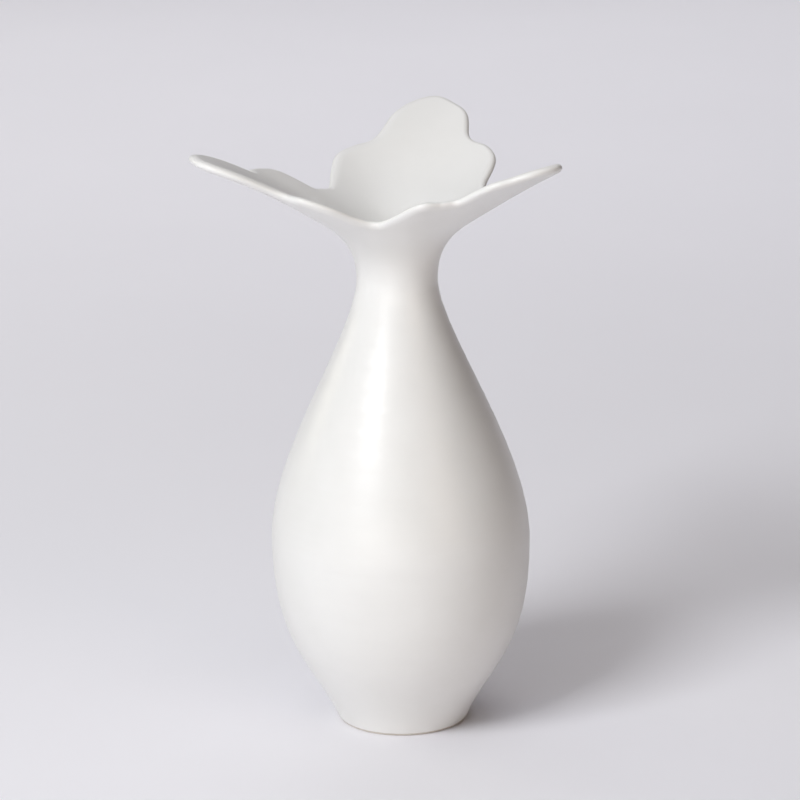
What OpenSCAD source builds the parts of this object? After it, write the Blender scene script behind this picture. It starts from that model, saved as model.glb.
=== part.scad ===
// Ceramic bud vase: a teardrop body on a foot ring, whose narrow neck opens into three
// lobed petals. Every turned piece is a closed section spun about Z, and every section
// runs along cubic curves. +Z is up, and the foot stands on z = 0.

/* [Foot] */
// Radius of the foot where it meets the table
foot_r = 23.8; // [22:0.1:26]
// Lean of the wall outwards from upright at the foot, in degrees
foot_lean = 22.5; // [18:0.5:28]
// Height of the bare clay band under the glaze
foot_band = 1; // [0.8:0.1:1.4]
// Radial width of the foot ring
foot_ring_w = 5; // [4:0.1:5.4]
// Depth of the hollow inside the foot ring
foot_recess = 2.4; // [2:0.1:2.8]

/* [Body] */
// Outer radius at the belly
belly_r = 47.4; // [44:0.1:50]
// Height of the belly
belly_z = 69.5; // [64:0.5:74]
// Thickness of the wall with its liner glaze
wall = 3.2; // [2.8:0.1:3.8]
// Thickness of the liner glaze
glaze = 0.4; // [0.3:0.05:0.6]
// Height of the floor's upper face
floor_top = 6.4; // [6:0.1:8]
// Radius of the flat middle of the floor
floor_flat_r = 12; // [10:0.5:14]

/* [Neck] */
// Outer radius at the waist of the neck
waist_r = 14.8; // [13:0.1:17]
// Height of the waist
waist_z = 167.5; // [162:0.5:172]
// Outer radius of the collar's rim, where the petals start
collar_r = 31; // [30:0.1:31.5]
// Height of the collar's rim
collar_z = 191.9; // [189:0.1:194]
// Slope of the flare at the collar's rim, in degrees
collar_slope = 33; // [30:0.5:36]

/* [Petals] */
// Radius of the longest petal at its tip, to the centre of its rounded edge
petal_r = 75; // [72:0.1:79]
// Height of the underside at that radius
petal_z = 216.9; // [212:0.1:219]
// Slope of the petals at their tips, in degrees
petal_slope = 22; // [16:0.5:28]
// Direction of the back petal, in degrees about Z from +X
back_azimuth = 78.3; // [0:0.1:120]
// Sag at the tip of the left petal
left_sag = 1.7; // [0:0.1:4]
// Sag at the tip of the back petal
back_sag = 1; // [0:0.1:4]
// Sag at the tip of the right petal
right_sag = 0; // [0:0.1:4]

/* [Hidden] */

GLAZE_WHITE = "#f0eee9";
LINER_WHITE = "#f8f7f3";
BARE_CLAY = "#b4926f";

$fn = 96;
STEPS = 24;              // chords along each curve of a turned section
clay = wall - glaze;     // wall without its liner
ridge = 1.4;             // height of the V ridge in each luted joint
arris = 0.6;             // softened lower edges of the foot ring
PETALS = 3;

// Curves in the (radius, height) plane, each given by the four control points of a cubic.
// Each pull is how far a curve runs on in its end's direction before it starts to turn:
// a longer pull makes a fuller curve.
foot_pull = 24.7;        // up the wall from the foot
belly_pull_down = 41.5;
belly_pull_up = 32.8;
waist_pull_down = 19.7;
waist_pull_up = 13.5;
collar_pull = 10.8;      // down the flare from the collar's rim
floor_pull = 10;         // outwards from the flat middle of the floor
lower_curve = [
    [foot_r, 0],
    [foot_r, 0] + foot_pull * [sin(foot_lean), cos(foot_lean)],
    [belly_r, belly_z - belly_pull_down],
    [belly_r, belly_z]
];
upper_curve = [
    [belly_r, belly_z],
    [belly_r, belly_z + belly_pull_up],
    [waist_r, waist_z - waist_pull_down],
    [waist_r, waist_z]
];
flare_curve = [
    [waist_r, waist_z],
    [waist_r, waist_z + waist_pull_up],
    [collar_r, collar_z] - collar_pull * [cos(collar_slope), sin(collar_slope)],
    [collar_r, collar_z]
];
bowl_inside = [
    [floor_flat_r, floor_top],
    [floor_flat_r + floor_pull, floor_top],
    [belly_r - clay, belly_z - belly_pull_down],
    [belly_r - clay, belly_z]
];
// The petal's underside: its radii are evenly spaced, so radius runs evenly along it.
petal_third = (petal_r - collar_r) / 3;
petal_curve = [
    [collar_r, collar_z],
    [collar_r + petal_third, collar_z + petal_third * tan(collar_slope)],
    [petal_r - petal_third, petal_z - petal_third * tan(petal_slope)],
    [petal_r, petal_z]
];

// Each petal is cut by hand, so each side of each one is its own curve. It is given at
// these angles from the petal's centre line as how far the edge lies inside petal_r:
// the tip, the notch beside it, the side lobe, and last the notch between two petals.
cut_angles = [0, 6, 11, 16, 21, 29, 38, 46, 53, 60];
notch_gap = 1.2;         // from the collar's rim to the edge's centre, between two petals
notch_cut = petal_r - collar_r - notch_gap;
back_cut = [
    [0, 3.5, 10, 19.5, 24, 26, 29, 35.5, notch_cut - 2.3, notch_cut],
    [0, 4, 9, 19.5, 23, 24.5, 29, 37.5, notch_cut - 1.8, notch_cut]
];
left_cut = [
    [1, 2.5, 10, 21.5, 26, 26.5, 31.5, 38.5, notch_cut - 0.8, notch_cut],
    [1, 2.5, 9.5, 23, 23.5, 25.5, 29.5, 40, notch_cut - 0.8, notch_cut]
];
right_cut = [
    [2, 6, 12, 20, 23, 25, 30, 36.5, notch_cut - 1.8, notch_cut],
    [2, 4, 9.5, 14, 25, 27, 27, 35, notch_cut - 2.3, notch_cut]
];

// Where the joints fall.
band_t = foot_band / (3 * foot_pull * cos(foot_lean)); // top of the bare band, on lower_curve
seat_t = 0.22;           // the floor disc's rim, on bowl_inside
scarf_t = 0.9;           // inner end of the petals' joint, on flare_curve
ring_in_r = foot_r - foot_ring_w;
seat_ledge = 2.5;        // how far the bowl's ledge reaches under the floor disc
ledge_thickness = 2.2;
seat_z = foot_recess + ledge_thickness;

// A point on a curve, its unit direction, and a point set in from it towards the hollow.
function on(c, t) = pow(1 - t, 3) * c[0] + 3 * t * pow(1 - t, 2) * c[1]
    + 3 * t * t * (1 - t) * c[2] + pow(t, 3) * c[3];
function direction(c, t) = let (
    d = pow(1 - t, 2) * (c[1] - c[0]) + 2 * t * (1 - t) * (c[2] - c[1])
        + t * t * (c[3] - c[2])
) d / norm(d);
function inset(c, t, depth) = let (d = direction(c, t)) on(c, t) + depth * [-d[1], d[0]];
function stretch(c, t0, t1, depth = 0) =
    [for (i = [0:STEPS]) inset(c, t0 + (t1 - t0) * i / STEPS, depth)];

// The three points of a luted joint across the clay, from outside to inside.
function luted(c, t) = [
    inset(c, t, 0),
    inset(c, t, clay / 2) + ridge * direction(c, t),
    inset(c, t, clay)
];
function reversed(list) = [for (i = [len(list) - 1:-1:0]) list[i]];

band_top = on(lower_curve, band_t);
foot_joint = [
    band_top,
    [(band_top[0] + ring_in_r) / 2, foot_recess + ridge],
    [ring_in_r, foot_recess]
];
seat_rim = on(bowl_inside, seat_t);
seat_path = [
    seat_rim,
    [seat_rim[0], seat_z],
    [seat_rim[0] - seat_ledge, seat_z],
    [seat_rim[0] - seat_ledge, foot_recess]
];

module turned(tint, section) {
    color(tint) rotate_extrude() polygon(section);
}

// The bare ring that stands on the table, with a V ridge on top.
module foot_ring() {
    turned(BARE_CLAY, concat(
        [[ring_in_r + arris, 0], [foot_r - arris, 0], [foot_r, arris]],
        foot_joint,
        [[ring_in_r, arris]]
    ));
}

// A stepped disc that drops onto the bowl's ledge and closes its floor.
module floor_disc() {
    turned(GLAZE_WHITE, concat(
        [[0, floor_top], [0, foot_recess]],
        reversed(seat_path),
        stretch(bowl_inside, seat_t, 0)
    ));
}

// The wall from the foot to the belly.
module lower_bowl() {
    turned(GLAZE_WHITE, concat(
        stretch(lower_curve, band_t, 1),
        luted(upper_curve, 0),
        stretch(bowl_inside, 1, seat_t),
        seat_path,
        reversed(foot_joint)
    ));
}

// The wall from the belly to the waist of the neck.
module shoulder() {
    turned(GLAZE_WHITE, concat(
        stretch(upper_curve, 0, 1),
        luted(flare_curve, 0),
        stretch(upper_curve, 1, 0, clay),
        reversed(luted(upper_curve, 0))
    ));
}

// The waist and the flare above it, up to the rim that carries the petals.
module neck_collar() {
    turned(GLAZE_WHITE, concat(
        stretch(flare_curve, 0, 1),
        stretch(flare_curve, scarf_t, 0, wall),
        reversed(luted(flare_curve, 0))
    ));
}

// The waterproof coat over the floor and up the inside to the waist.
module liner_glaze() {
    turned(LINER_WHITE, concat(
        [[0, floor_top]],
        stretch(bowl_inside, 0, 1),
        stretch(upper_curve, 0, 1, clay),
        stretch(upper_curve, 1, 0, wall),
        stretch(bowl_inside, 1, 0, glaze),
        [[0, floor_top + glaze]]
    ));
}

// Radius of the centre of a petal's rounded edge, at an angle from its centre line: a cubic
// through the side's cuts, level at both ends, with the slope of the chord between
// neighbours in between. Past the seam it turns back, as the next petal's edge does.
SEAM_ANGLE = 180 / PETALS;
function cut_slope(side, i) = i == 0 || i == len(side) - 1 ? 0
    : (side[i + 1] - side[i - 1]) / (cut_angles[i + 1] - cut_angles[i - 1]);
function edge_radius(cut, angle) = let (
    side = cut[angle < 0 ? 1 : 0],
    turn = abs(angle) > SEAM_ANGLE ? 2 * SEAM_ANGLE - abs(angle) : abs(angle),
    i = max([for (k = [0:len(side) - 2]) if (cut_angles[k] <= turn) k]),
    span = cut_angles[i + 1] - cut_angles[i],
    t = (turn - cut_angles[i]) / span
) petal_r - (1 + 2 * t) * pow(1 - t, 2) * side[i] - t * t * (3 - 2 * t) * side[i + 1]
    - t * pow(1 - t, 2) * span * cut_slope(side, i)
    - t * t * (t - 1) * span * cut_slope(side, i + 1);

// How far along petal_curve its middle surface reaches a radius.
function petal_t(radius) = (radius - collar_r) / (petal_r - collar_r);
function edge_t(cut, angle) = let (radius = edge_radius(cut, angle))
    petal_t(radius + wall / 2 * direction(petal_curve, petal_t(radius))[1]);

// A point of a section, sagged and turned to its angle. A petal sags more and more towards
// its tip, from just outside the collar's rim.
sag_start = collar_r + 2;
function placed(p, angle, sag) =
    let (reach = max(0, p[0] - sag_start) / (petal_r - sag_start))
    [p[0] * cos(angle), p[0] * sin(angle), p[1] - sag * pow(reach, 1.5)];
function edge_centre(cut, angle, sag) =
    placed(inset(petal_curve, edge_t(cut, angle), wall / 2), angle, sag);

// The loop of points round a petal at an angle from its centre line: from the seam along
// the underside, round the edge, back over the top and down to the foot of the scarf.
// The edge's half circle stands square to the line of the edge.
PETAL_CHORDS = 5;
SECTION_STEP = 2;        // degrees between sections
ASIDE = 0.5;             // degrees to either side, where the line of the edge is taken
function petal_section(cut, angle, sag) = let (
    t = edge_t(cut, angle),
    d = direction(petal_curve, t),
    up = [-d[1] * cos(angle), -d[1] * sin(angle), d[0]],
    ahead = edge_centre(cut, angle + ASIDE, sag) - edge_centre(cut, angle - ASIDE, sag),
    square = cross(ahead, up),
    out = square / norm(square),
    centre = edge_centre(cut, angle, sag),
    under = [for (i = [0:PETAL_CHORDS])
        placed(inset(petal_curve, t * i / PETAL_CHORDS, 0), angle, sag)],
    edge = [for (a = [45:45:135]) centre + wall / 2 * (sin(a) * out - cos(a) * up)],
    over = [for (i = [PETAL_CHORDS:-1:0])
        placed(inset(petal_curve, t * i / PETAL_CHORDS, wall), angle, sag)],
    root = [for (t = [(1 + scarf_t) / 2, scarf_t])
        placed(inset(flare_curve, t, wall), angle, sag)]
) concat(under, edge, over, root);

module petal(azimuth, cut, sag) {
    angles = [for (a = [-SEAM_ANGLE:SECTION_STEP:SEAM_ANGLE]) a];
    sections = [for (a = angles) petal_section(cut, a, sag)];
    m = len(sections[0]);
    last = (len(angles) - 1) * m;
    color(GLAZE_WHITE) rotate([0, 0, azimuth]) polyhedron(
        points = [for (s = sections) each s],
        faces = concat(
            [[for (j = [m - 1:-1:0]) j]],
            [for (i = [0:len(angles) - 2], j = [0:m - 1])
                let (a = i * m + j, b = i * m + (j + 1) % m) each [
                    [a, b + m, a + m],
                    [a, b, b + m]
                ]],
            [[for (j = [0:m - 1]) last + j]]
        )
    );
}

module petal_back() { petal(back_azimuth, back_cut, back_sag); }
module petal_left() { petal(back_azimuth + 360 / PETALS, left_cut, left_sag); }
module petal_right() { petal(back_azimuth + 2 * 360 / PETALS, right_cut, right_sag); }

foot_ring();
floor_disc();
lower_bowl();
shoulder();
neck_collar();
petal_left();
petal_right();
petal_back();
liner_glaze();
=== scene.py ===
import math

import bpy
import numpy as np
from mathutils import Euler, Matrix, Vector


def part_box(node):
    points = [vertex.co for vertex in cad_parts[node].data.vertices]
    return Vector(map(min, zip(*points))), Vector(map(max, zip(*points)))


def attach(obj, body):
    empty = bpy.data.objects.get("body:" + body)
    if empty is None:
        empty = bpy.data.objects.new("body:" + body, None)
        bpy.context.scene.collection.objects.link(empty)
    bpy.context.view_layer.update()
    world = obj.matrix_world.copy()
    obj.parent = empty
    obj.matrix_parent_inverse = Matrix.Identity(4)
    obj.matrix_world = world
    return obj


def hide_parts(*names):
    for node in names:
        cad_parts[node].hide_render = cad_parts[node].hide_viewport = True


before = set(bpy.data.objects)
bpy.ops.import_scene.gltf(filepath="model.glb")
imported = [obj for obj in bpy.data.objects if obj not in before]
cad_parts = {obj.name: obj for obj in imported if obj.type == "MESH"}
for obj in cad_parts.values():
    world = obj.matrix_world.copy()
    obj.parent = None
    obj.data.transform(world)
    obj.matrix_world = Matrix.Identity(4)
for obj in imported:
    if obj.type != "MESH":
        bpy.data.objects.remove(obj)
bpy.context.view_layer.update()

# ---------------------------------------------------------------- sizes, in millimetres
MM = 0.001


def node_box(name):
    """A node's lowest and highest corners."""
    low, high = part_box(name)
    return np.array(low) / MM, np.array(high) / MM


shoulder_low, shoulder_high = node_box("shoulder")
collar_low, collar_high = node_box("neck_collar")
petal_low, _ = node_box("petal_back")

FOOT_R = 23.8
FOOT_LEAN = math.radians(22.5)
FOOT_PULL = 24.7
FOOT_BAND = 1.0
FOOT_RING_W = 5.0
FOOT_RECESS = 2.4
ARRIS = 0.6
BELLY_R = shoulder_high[0]
BELLY_Z = shoulder_low[2]
WALL = 3.2
GLAZE = 0.4
CLAY = WALL - GLAZE
RIDGE = 1.4
FLOOR_TOP = 6.4
FLOOR_FLAT_R = 12.0
FLOOR_PULL = 10.0
BELLY_PULL_DOWN = 41.5
BELLY_PULL_UP = 32.8
WAIST_R = 14.8
WAIST_PULL_DOWN = 19.7
WAIST_PULL_UP = 13.5
WAIST_Z = collar_low[2]
COLLAR_R = collar_high[0]
COLLAR_Z = petal_low[2]
COLLAR_SLOPE = math.radians(33)
COLLAR_PULL = 10.8
SCARF_T = 0.9
SEAT_T = 0.22
SEAT_Z = FOOT_RECESS + 2.2
SEAT_LEDGE = 2.5
PETAL_R = 75.0
PETAL_Z = 216.9
PETAL_SLOPE = math.radians(22)
SEAM_ANGLE = 60.0
BACK_AZIMUTH = 78.3

# "cut" is how far each side of a petal's edge lies inside PETAL_R, at CUT_ANGLES from the
# petal's centre line: first the anticlockwise side, then the clockwise one. "roll" is how far
# in the edge's rounding runs on the same two sides, and "sag" is how far the tip droops. The
# edges meet in the notches, NOTCH_GAP outside the collar.
CUT_ANGLES = [0, 6, 11, 16, 21, 29, 38, 46, 53, 60]
NOTCH_GAP = 1.2
NOTCH_CUT = PETAL_R - COLLAR_R - NOTCH_GAP
PETALS = {
    "petal_back": {
        "azimuth": BACK_AZIMUTH, "sag": 1.0, "roll": (2.4, 0.4),
        "cut": ([0, 3.5, 10, 19.5, 24, 26, 29, 35.5, 40.5, NOTCH_CUT],
                [0, 4, 9, 19.5, 23, 24.5, 29, 37.5, 41, NOTCH_CUT]),
    },
    "petal_left": {
        "azimuth": BACK_AZIMUTH + 120, "sag": 1.7, "roll": (1.8, 1.4),
        "cut": ([1, 2.5, 10, 21.5, 26, 26.5, 31.5, 38.5, 42, NOTCH_CUT],
                [1, 2.5, 9.5, 23, 23.5, 25.5, 29.5, 40, 42, NOTCH_CUT]),
    },
    "petal_right": {
        "azimuth": BACK_AZIMUTH + 240, "sag": 0.0, "roll": (0.2, 1.4),
        "cut": ([2, 6, 12, 20, 23, 25, 30, 36.5, 41, NOTCH_CUT],
                [2, 4, 9.5, 14, 25, 27, 27, 35, 40.5, NOTCH_CUT]),
    },
}


# ---------------------------------------------------------------- curves in (radius, height)
def polar(length, angle):
    return length * np.array([math.cos(angle), math.sin(angle)])


def curve(*controls):
    return np.array([np.array(c, float) for c in controls])


petal_third = (PETAL_R - COLLAR_R) / 3
LOWER = curve([FOOT_R, 0], np.array([FOOT_R, 0]) + polar(FOOT_PULL, math.pi / 2 - FOOT_LEAN),
              [BELLY_R, BELLY_Z - BELLY_PULL_DOWN], [BELLY_R, BELLY_Z])
UPPER = curve([BELLY_R, BELLY_Z], [BELLY_R, BELLY_Z + BELLY_PULL_UP],
              [WAIST_R, WAIST_Z - WAIST_PULL_DOWN], [WAIST_R, WAIST_Z])
FLARE = curve([WAIST_R, WAIST_Z], [WAIST_R, WAIST_Z + WAIST_PULL_UP],
              np.array([COLLAR_R, COLLAR_Z]) - polar(COLLAR_PULL, COLLAR_SLOPE),
              [COLLAR_R, COLLAR_Z])
BOWL_INSIDE = curve([FLOOR_FLAT_R, FLOOR_TOP], [FLOOR_FLAT_R + FLOOR_PULL, FLOOR_TOP],
                    [BELLY_R - CLAY, BELLY_Z - BELLY_PULL_DOWN], [BELLY_R - CLAY, BELLY_Z])
PETAL = curve([COLLAR_R, COLLAR_Z],
              [COLLAR_R + petal_third, COLLAR_Z + petal_third * math.tan(COLLAR_SLOPE)],
              [PETAL_R - petal_third, PETAL_Z - petal_third * math.tan(PETAL_SLOPE)],
              [PETAL_R, PETAL_Z])


def on(c, t):
    """Points on a cubic curve, at t from 0 to 1."""
    t = np.asarray(t, float)[..., None]
    return ((1 - t) ** 3 * c[0] + 3 * t * (1 - t) ** 2 * c[1]
            + 3 * t * t * (1 - t) * c[2] + t ** 3 * c[3])


def direction(c, t):
    """Unit directions of a cubic curve, at t from 0 to 1."""
    t = np.asarray(t, float)[..., None]
    d = (1 - t) ** 2 * (c[1] - c[0]) + 2 * t * (1 - t) * (c[2] - c[1]) + t * t * (c[3] - c[2])
    return d / np.linalg.norm(d, axis=-1, keepdims=True)


def inset(c, t, depth):
    """Points set in from a curve, towards the hollow, by depth."""
    d = direction(c, t)
    return on(c, t) + depth * np.stack([-d[..., 1], d[..., 0]], axis=-1)


END_ROW = 0.002          # a narrow row at each end keeps the shading true up to a seam


def eased(u):
    """Turns 0 to 1 into 0 to 1 with no corner at either end."""
    return u * u * (3 - 2 * u)


def spaced(t0, t1, count):
    """Even steps from t0 to t1, with one narrow row at each end."""
    u = np.concatenate([[0, END_ROW], np.linspace(0, 1, count + 1)[1:-1], [1 - END_ROW, 1]])
    return t0 + (t1 - t0) * u


def stretch(c, t0, t1, count, depth=0.0):
    """Points from t0 to t1 of a curve, in count rows, set in by depth."""
    return inset(c, spaced(t0, t1, count), depth)


def luted(c, t):
    """The V ridge of a luted joint across the clay, from outside to inside."""
    return np.array([inset(c, t, 0), inset(c, t, CLAY / 2) + RIDGE * direction(c, t),
                     inset(c, t, CLAY)])


# ---------------------------------------------------------------- the potter's hand
OVAL = 0.16
THREE_SIDED = 0.07
SWELL = 0.10
RING_DEPTH = 0.030
RING_PITCH = 8.5
FINE_RING_DEPTH = 0.018
FINE_RING_PITCH = 3.7
FADE_FROM = 3            # the change begins this far above the table,
FADE_IN = 20             # grows to the full over this height,
FADE_OUT = 25            # dies away again over this height
FADE_END = 4             # and ends this far below the petals
LEAST_RADIUS = 8         # nearer the axis than this it shrinks with the radius


def by_hand(p):
    """Moves points a little, as a wheel and a hand leave them. The change depends only on
    the place, so pieces that touch still touch. It dies away at the foot and the rim."""
    x, y, z = p[..., 0], p[..., 1], p[..., 2]
    turn = np.arctan2(y, x)
    radius = np.hypot(x, y)
    oval = OVAL * np.cos(2 * turn + 0.6 + z / 90) + THREE_SIDED * np.cos(3 * turn - z / 40)
    around = 2 * math.pi * z
    rings = RING_DEPTH * np.sin(around / RING_PITCH + turn + 1.2 * np.sin(z / 23))
    rings += FINE_RING_DEPTH * np.sin(around / FINE_RING_PITCH - turn + 0.9 * np.cos(z / 17))
    swell = SWELL * np.sin(z / 19.0 + 0.8) * np.cos(turn - 0.7)
    rising = np.clip((z - FADE_FROM) / FADE_IN, 0, 1)
    falling = np.clip((COLLAR_Z - FADE_END - z) / FADE_OUT, 0, 1)
    shift = eased(rising * falling) * (oval + rings + swell)
    scale = 1 + shift / np.maximum(radius, LEAST_RADIUS)
    return np.stack([x * scale, y * scale, z], axis=-1)


# ---------------------------------------------------------------- meshes
SMOOTH_BELOW = math.radians(35)


def make_piece(name, points, faces, replaced, material):
    """A smooth mesh that is seen in place of a CAD node."""
    mesh = bpy.data.meshes.new(name)
    mesh.from_pydata((by_hand(points) * MM).tolist(), [], faces)
    mesh.validate()
    mesh.update()
    mesh.shade_smooth()
    mesh.set_sharp_from_angle(angle=SMOOTH_BELOW)
    piece = bpy.data.objects.new(name, mesh)
    bpy.context.scene.collection.objects.link(piece)
    piece.data.materials.append(material)
    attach(piece, "root")
    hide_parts(replaced)


COLUMNS = 240            # round the whole vase, and across each petal


def revolve(section):
    """Spins a section about Z: a closed loop, or a path that starts and ends on the axis."""
    section = np.array(section)
    on_axis = section[0][0] == 0
    body = section[1:-1] if on_axis else section
    m = len(body)
    turn = np.linspace(0, 2 * math.pi, COLUMNS, endpoint=False)
    points = np.stack([np.outer(np.cos(turn), body[:, 0]), np.outer(np.sin(turn), body[:, 0]),
                       np.broadcast_to(body[:, 1], (COLUMNS, m))], axis=-1).reshape(-1, 3)
    faces = []
    for i in range(COLUMNS):
        a, b = i * m, (i + 1) % COLUMNS * m
        for j in range(m - 1 if on_axis else m):
            k = (j + 1) % m
            faces.append((a + j, b + j, b + k, a + k))
    if on_axis:
        first, last = len(points), len(points) + 1
        points = np.vstack([points, [0, 0, section[0][1]], [0, 0, section[-1][1]]])
        for i in range(COLUMNS):
            a, b = i * m, (i + 1) % COLUMNS * m
            faces.append((first, b, a))
            faces.append((last, a + m - 1, b + m - 1))
    return points, faces


# The bare clay shows up to about FOOT_BAND above the table, where the foot's joint is.
band_t = FOOT_BAND / (3 * FOOT_PULL * math.cos(FOOT_LEAN))
band_top = on(LOWER, band_t)
ring_in_r = FOOT_R - FOOT_RING_W
foot_joint = np.array([band_top, [(band_top[0] + ring_in_r) / 2, FOOT_RECESS + RIDGE],
                       [ring_in_r, FOOT_RECESS]])
seat_rim = on(BOWL_INSIDE, SEAT_T)
seat_path = np.array([seat_rim, [seat_rim[0], SEAT_Z], [seat_rim[0] - SEAT_LEDGE, SEAT_Z],
                      [seat_rim[0] - SEAT_LEDGE, FOOT_RECESS]])


ARRIS_STEPS = 6


def arris(radius, start):
    """A rounded arris of the foot, as a quarter circle: its centre's radius, its first angle."""
    centre = np.array([radius, ARRIS])
    return np.array([centre + polar(ARRIS, start + a)
                     for a in np.linspace(0, math.pi / 2, ARRIS_STEPS + 1)])


def foot_ring_section():
    inner = arris(ring_in_r + ARRIS, math.pi)
    outer = arris(FOOT_R - ARRIS, -math.pi / 2)
    return np.vstack([inner, outer, foot_joint])


def floor_disc_section():
    return np.vstack([[[0, FOOT_RECESS]], seat_path[::-1],
                      stretch(BOWL_INSIDE, SEAT_T, 0, 16)[1:], [[0, FLOOR_TOP]]])


def lower_bowl_section():
    return np.vstack([stretch(LOWER, band_t, 1, 90), luted(UPPER, 0)[1:],
                      stretch(BOWL_INSIDE, 1, SEAT_T, 60)[1:], seat_path[1:],
                      foot_joint[::-1][:-1]])


def shoulder_section():
    return np.vstack([stretch(UPPER, 0, 1, 110), luted(FLARE, 0)[1:],
                      stretch(UPPER, 1, 0, 70, CLAY)[1:], luted(UPPER, 0)[::-1][1:-1]])


def neck_collar_section():
    return np.vstack([stretch(FLARE, 0, 1, 60), stretch(FLARE, SCARF_T, 0, 50, WALL),
                      luted(FLARE, 0)[::-1][:-1]])


def liner_section():
    return np.vstack([[[0, FLOOR_TOP]], stretch(BOWL_INSIDE, 0, 1, 40),
                      stretch(UPPER, 0, 1, 70, CLAY)[1:], stretch(UPPER, 1, 0, 70, WALL),
                      stretch(BOWL_INSIDE, 1, 0, 40, GLAZE)[1:], [[0, FLOOR_TOP + GLAZE]]])


# ---------------------------------------------------------------- petals
def edge_radius(cut, angle):
    """Radius of the centre of the rounded edge, as in the CAD: a cubic through the cuts."""
    side = cut[0] if angle >= 0 else cut[1]
    turn = abs(angle)
    if turn > SEAM_ANGLE:
        turn = 2 * SEAM_ANGLE - turn    # past the seam the edge is mirrored
    last = len(side) - 1
    i = max(k for k in range(last) if CUT_ANGLES[k] <= turn)

    def slope(k):
        if k in (0, last):
            return 0.0
        return (side[k + 1] - side[k - 1]) / (CUT_ANGLES[k + 1] - CUT_ANGLES[k - 1])

    span = CUT_ANGLES[i + 1] - CUT_ANGLES[i]
    t = (turn - CUT_ANGLES[i]) / span
    return (PETAL_R - (1 + 2 * t) * (1 - t) ** 2 * side[i] - t * t * (3 - 2 * t) * side[i + 1]
            - t * (1 - t) ** 2 * span * slope(i) - t * t * (t - 1) * span * slope(i + 1))


def petal_t(radius):
    return (radius - COLLAR_R) / (PETAL_R - COLLAR_R)


def edge_t(cut, angle):
    radius = edge_radius(cut, angle)
    return petal_t(radius + WALL / 2 * direction(PETAL, petal_t(radius))[1])


SEAM_ROLL = 1.0          # all the petals share this roll at their seams
SEAM_BLEND = 14          # degrees from a seam to where a side has its own roll
TIP_BLEND = 24           # degrees across the tip, from one side's roll to the other's


def edge_roll(petal, angle):
    """How far the rounding of the edge runs in past its centre."""
    anticlockwise, clockwise = petal["roll"]
    roll = clockwise + (anticlockwise - clockwise) * np.clip(0.5 + angle / TIP_BLEND, 0, 1)
    from_seam = np.clip((SEAM_ANGLE - abs(angle)) / SEAM_BLEND, 0, 1)
    return SEAM_ROLL + (roll - SEAM_ROLL) * eased(from_seam)


SAG_FROM = COLLAR_R + 2  # the sag starts at this radius
SAG_POWER = 1.5          # and grows with this power of the way to the tip


def placed(p, angle, petal):
    """Section points at an angle from the petal's centre line, sagged and turned."""
    p = np.atleast_2d(p)
    reach = np.clip(p[:, 0] - SAG_FROM, 0, None) / (PETAL_R - SAG_FROM)
    z = p[:, 1] - petal["sag"] * reach ** SAG_POWER
    turn = math.radians(angle + petal["azimuth"])
    return np.stack([p[:, 0] * math.cos(turn), p[:, 0] * math.sin(turn), z], axis=-1)


ASIDE = 0.25             # degrees to either side, where the line of the edge is taken
EDGE_STEPS = 10
ROLL_ROWS = 7
PETAL_ROWS = 26
ROOT_ROWS = 5
MOST_SLANT = 4           # the roll's rows reach in by at most this many times the roll,
MOST_BAND = 0.7          # and over at most this part of the way to the collar


def petal_section(petal, angle):
    """The loop of points round a petal: out along the underside, round the edge, back over
    the top and down the inner face to the foot of the scarf."""
    cut = petal["cut"]
    roll = edge_roll(petal, angle)
    t = edge_t(cut, angle)
    turn = math.radians(angle + petal["azimuth"])
    d = direction(PETAL, t)
    up = np.array([-d[1] * math.cos(turn), -d[1] * math.sin(turn), d[0]])

    def centre_at(a):
        return placed(inset(PETAL, edge_t(cut, a), WALL / 2), a, petal)[0]

    centre = centre_at(angle)
    out = np.cross(centre_at(angle + ASIDE) - centre_at(angle - ASIDE), up)
    out /= np.linalg.norm(out)
    reach = WALL / 2 + roll
    first = math.asin(roll / reach)
    around = np.linspace(first, math.pi - first, EDGE_STEPS + 1)[1:-1]
    edge = np.array([centre + (reach * math.sin(a) - roll) * out - WALL / 2 * math.cos(a) * up
                     for a in around])

    # The rows of both faces: evenly to where the edge starts to roll, then closer together.
    across = out @ np.array([math.cos(turn) * d[0], math.sin(turn) * d[0], d[1]])
    length = t * (PETAL_R - COLLAR_R) / d[0]
    band = min(roll / max(across, 1 / MOST_SLANT), MOST_BAND * length)
    from_edge = np.concatenate([length - (length - band) * spaced(0, 1, PETAL_ROWS),
                                band * np.linspace(1, 0, ROLL_ROWS + 1)[1:]])
    rows = t * (1 - from_edge / length)
    inward = np.clip(roll - from_edge * roll / band, 0, None)
    thinner = WALL / 2 * (1 - np.sqrt(1 - (inward / reach) ** 2))
    under = placed(inset(PETAL, rows, thinner[:, None]), angle, petal)
    over = placed(inset(PETAL, rows, WALL - thinner[:, None]), angle, petal)[::-1]
    root = placed(stretch(FLARE, 1, SCARF_T, ROOT_ROWS, WALL)[1:], angle, petal)
    return np.vstack([under, edge, over, root])


def petal_mesh(petal):
    """Sections side by side from seam to seam, with a cap at both seams."""
    angles = (spaced(0, 1, COLUMNS) - 0.5) * 2 * SEAM_ANGLE
    sections = [petal_section(petal, a) for a in angles]
    m = len(sections[0])
    last = (len(angles) - 1) * m
    faces = [tuple(range(m)), tuple(last + j for j in range(m - 1, -1, -1))]
    for i in range(len(angles) - 1):
        for j in range(m):
            a, b = i * m + j, i * m + (j + 1) % m
            faces.append((a, a + m, b + m, b))
    return np.vstack(sections), faces


# ---------------------------------------------------------------- materials
def principled(name):
    material = bpy.data.materials.new(name)
    material.use_nodes = True
    tree = material.node_tree
    return material, tree, tree.nodes["Principled BSDF"]


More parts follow.
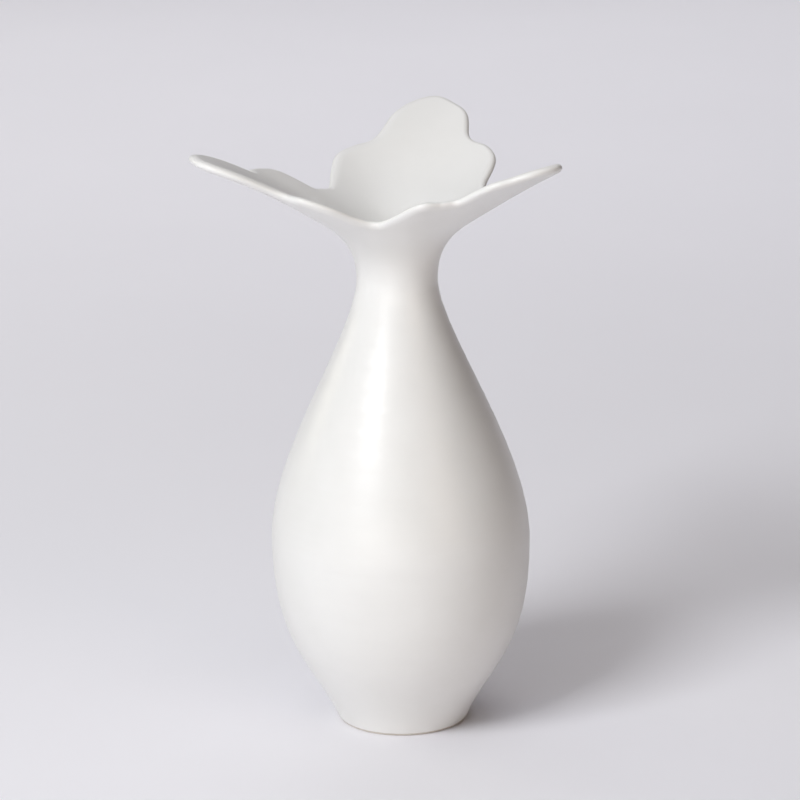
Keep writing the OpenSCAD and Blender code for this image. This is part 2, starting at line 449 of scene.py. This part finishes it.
def noise(tree, scale, detail, roughness=0.5):
    place = tree.nodes.new("ShaderNodeTexCoord")
    node = tree.nodes.new("ShaderNodeTexNoise")
    node.inputs["Scale"].default_value = scale
    node.inputs["Detail"].default_value = detail
    node.inputs["Roughness"].default_value = roughness
    tree.links.new(place.outputs["Object"], node.inputs["Vector"])
    return node.outputs["Fac"]


def ramp(tree, source, *stops):
    """Maps a 0 to 1 value through (position, colour) stops."""
    node = tree.nodes.new("ShaderNodeValToRGB")
    elements = node.color_ramp.elements
    while len(elements) < len(stops):
        elements.new(0.5)
    for element, (position, colour) in zip(elements, stops):
        element.position = position
        element.color = (*colour, 1.0)
    tree.links.new(source, node.inputs["Fac"])
    return node.outputs["Color"]


def spread(tree, source, low, high):
    """Maps a 0 to 1 value to the range low to high."""
    node = tree.nodes.new("ShaderNodeMapRange")
    node.inputs["To Min"].default_value = low
    node.inputs["To Max"].default_value = high
    tree.links.new(source, node.inputs["Value"])
    return node.outputs["Result"]


def bump(tree, height, distance, strength, normal=None):
    node = tree.nodes.new("ShaderNodeBump")
    node.inputs["Distance"].default_value = distance
    node.inputs["Strength"].default_value = strength
    tree.links.new(height, node.inputs["Height"])
    if normal is not None:
        tree.links.new(normal, node.inputs["Normal"])
    return node.outputs["Normal"]


def satin_glaze():
    """Warm white satin glaze: faint clouding, a soft uneven sheen and a fine waviness."""
    material, tree, shader = principled("satin_glaze")
    tint = ramp(tree, noise(tree, 55, 4),
                (0.3, (0.775, 0.768, 0.753)), (0.7, (0.795, 0.788, 0.775)))
    tree.links.new(tint, shader.inputs["Base Color"])
    sheen = spread(tree, noise(tree, 120, 3), 0.30, 0.36)
    tree.links.new(sheen, shader.inputs["Roughness"])
    wavy = bump(tree, noise(tree, 420, 2), 0.0002, 0.12)
    grain = bump(tree, noise(tree, 2600, 2), 0.00005, 0.15, wavy)
    tree.links.new(grain, shader.inputs["Normal"])
    shader.inputs["IOR"].default_value = 1.5
    return material


def liner_material():
    """The clear white glaze inside: glossier than the outside."""
    material, tree, shader = principled("liner_glaze")
    tint = ramp(tree, noise(tree, 70, 3), (0.3, (0.80, 0.80, 0.78)), (0.7, (0.84, 0.83, 0.81)))
    tree.links.new(tint, shader.inputs["Base Color"])
    sheen = spread(tree, noise(tree, 150, 3), 0.12, 0.2)
    tree.links.new(sheen, shader.inputs["Roughness"])
    tree.links.new(bump(tree, noise(tree, 380, 2), 0.0002, 0.12), shader.inputs["Normal"])
    return material


def bare_clay():
    """Unglazed stoneware: sandy, matte and speckled."""
    material, tree, shader = principled("bare_clay")
    sand = ramp(tree, noise(tree, 1800, 4, 0.65),
                (0.25, (0.50, 0.45, 0.40)), (0.55, (0.63, 0.58, 0.53)),
                (0.8, (0.71, 0.67, 0.62)))
    tree.links.new(sand, shader.inputs["Base Color"])
    sheen = spread(tree, noise(tree, 900, 3), 0.75, 0.92)
    tree.links.new(sheen, shader.inputs["Roughness"])
    tree.links.new(bump(tree, noise(tree, 2200, 4), 0.0002, 0.5), shader.inputs["Normal"])
    return material


def backdrop_paper():
    material, tree, shader = principled("backdrop_paper")
    tint = ramp(tree, noise(tree, 6, 2),
                (0.3, (0.865, 0.857, 0.900)), (0.7, (0.875, 0.867, 0.910)))
    tree.links.new(tint, shader.inputs["Base Color"])
    shader.inputs["Roughness"].default_value = 0.9
    shader.inputs["Specular IOR Level"].default_value = 0.2
    return material


# ---------------------------------------------------------------- the vase
glaze = satin_glaze()
liner = liner_material()
clay = bare_clay()

TURNED = {
    "foot_ring": (foot_ring_section, "bare_clay", clay),
    "floor_disc": (floor_disc_section, "satin_glaze", glaze),
    "lower_bowl": (lower_bowl_section, "satin_glaze", glaze),
    "shoulder": (shoulder_section, "satin_glaze", glaze),
    "neck_collar": (neck_collar_section, "satin_glaze", glaze),
    "liner_glaze": (liner_section, "liner_glaze", liner),
}
for node, (section, slot, material) in TURNED.items():
    points, faces = revolve(section())
    make_piece(node + "_look", points, faces, node, material)
for node, petal in PETALS.items():
    points, faces = petal_mesh(petal)
    make_piece(node + "_look", points, faces, node, glaze)


# ---------------------------------------------------------------- stage, lights and camera
BEND_POINTS = 25


def backdrop():
    """A seamless paper sweep: a floor that curves up into a wall far behind."""
    front, start, bend, top, half_width = -4.0, 2.6, 1.2, 4.0, 5.0
    arc = [(start + bend * math.sin(a), bend - bend * math.cos(a))
           for a in np.linspace(0, math.pi / 2, BEND_POINTS)]
    path = [(front, 0.0), (0.0, 0.0)] + arc + [(start + bend, top)]
    points = [(side * half_width, y, z) for y, z in path for side in (-1, 1)]
    faces = [(2 * i, 2 * i + 1, 2 * i + 3, 2 * i + 2) for i in range(len(path) - 1)]
    mesh = bpy.data.meshes.new("backdrop")
    mesh.from_pydata(points, [], faces)
    mesh.shade_smooth()
    sweep = bpy.data.objects.new("backdrop", mesh)
    bpy.context.scene.collection.objects.link(sweep)
    mesh.materials.append(backdrop_paper())


def softbox(name, azimuth, elevation, distance, width, height, power, colour,
            target=(0, 0, 0.12)):
    """An area light that faces a target, from a distance in metres. Azimuth 0 is on the
    camera's side, and positive is to its right. The power is in watts."""
    turn, lift = math.radians(azimuth), math.radians(elevation)
    light = bpy.data.lights.new(name, "AREA")
    light.shape = "RECTANGLE"
    light.size, light.size_y = width, height
    light.energy = power
    light.color = colour
    box = bpy.data.objects.new(name, light)
    box.location = Vector(target) + distance * Vector((
        math.cos(lift) * math.sin(turn), -math.cos(lift) * math.cos(turn), math.sin(lift)))
    box.rotation_euler = (math.pi / 2 - lift, 0, turn)
    bpy.context.scene.collection.objects.link(box)


def room_light(strength):
    """A dim even light from everywhere."""
    world = bpy.data.worlds.new("room")
    world.use_nodes = True
    background = world.node_tree.nodes["Background"]
    background.inputs["Color"].default_value = (1, 1, 1, 1)
    background.inputs["Strength"].default_value = strength
    bpy.context.scene.world = world


backdrop()
# Each softbox: azimuth, elevation, distance, width, height, power and colour.
softbox("key", -42, 40, 1.8, 0.75, 0.5, 20.4, (0.97, 0.987, 1.0))
softbox("key_fill", -35, 20, 1.8, 0.6, 0.4, 3.0, (0.88, 0.93, 1.0))
softbox("low_fill", -28, 2, 1.8, 1.4, 0.5, 5.1, (1.0, 0.995, 0.96))
softbox("front_fill", -10, 4, 1.8, 1.6, 0.5, 2.6, (1.0, 0.98, 0.85))
softbox("left_back", -122, 15, 1.9, 0.8, 0.6, 3.1, (1.0, 0.92, 0.71))
softbox("right", 40, 12, 2.4, 1.4, 1.4, 7.4, (1.0, 0.78, 0.61))
softbox("top", 0, 88, 2.2, 1.6, 1.6, 13.0, (1.0, 0.98, 0.967), target=(0, 0, 0.1))
softbox("mid_wash", 0, 90, 0.5, 2.2, 0.3, 0.8, (0.97, 0.97, 1.0), target=(0, 0.85, 0))
softbox("back_wash", 0, 90, 1.5, 1.6, 0.8, 4.4, (0.9, 0.9, 1.0), target=(0, 1.2, 0))
softbox("far_wash", 0, 90, 0.7, 2.6, 0.5, 4.2, (0.99, 0.985, 0.98), target=(0, 1.5, 0))
room_light(0.01)

CAMERA_PLACE = (0.0, -1.3114, 0.504)
CAMERA_PITCH = math.radians(16.258)
CAMERA_YAW = math.radians(-0.0154)
CAMERA_ROLL = math.radians(0.813)
lens = bpy.data.cameras.new("camera")
lens.lens = 168.75
lens.sensor_width = 36
camera = bpy.data.objects.new("camera", lens)
camera.location = CAMERA_PLACE
aimed = Euler((math.pi / 2 - CAMERA_PITCH, 0, CAMERA_YAW)).to_matrix()
camera.rotation_euler = (aimed @ Matrix.Rotation(-CAMERA_ROLL, 3, "Z")).to_euler()
bpy.context.scene.collection.objects.link(camera)
bpy.context.scene.camera = camera
bpy.context.scene.view_settings.view_transform = "Standard"
